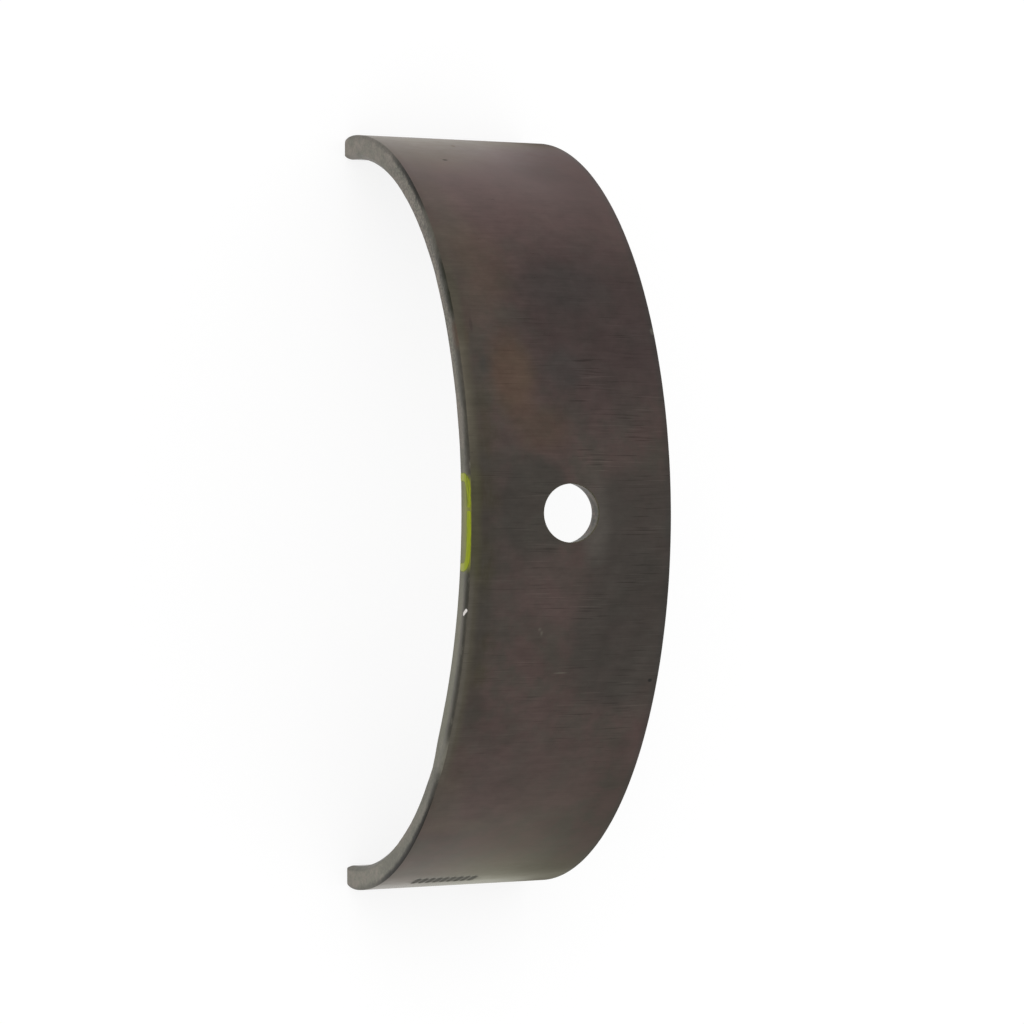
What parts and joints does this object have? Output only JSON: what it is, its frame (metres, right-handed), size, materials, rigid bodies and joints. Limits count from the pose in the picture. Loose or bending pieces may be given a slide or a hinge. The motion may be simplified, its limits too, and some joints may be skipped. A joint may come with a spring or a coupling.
{
  "type": "engine bearing shell",
  "caption": "Thin-walled half-round plain bearing shell with an oil hole in its crown, chamfered edges and flat parting faces. It lines a housing bore around a turning journal.",
  "frame": {"origin": "middle of the parting plane, at half the width, where the shell stands on its two parting faces", "axes": "+Y along the bearing's axis, +Z from the parting plane to the crown, along the oil hole, +X across the span"},
  "size_m": [0.0648, 0.0166, 0.0317],
  "materials": {
    "shell": "satin, darkened and stained on the back, bare on the end faces",
    "grade_mark": "thin brushed-on dab of yellow-green paint"
  },
  "bodies": {
    "root": {"bearing_shell": "shell"}
  },
  "joints": []
}
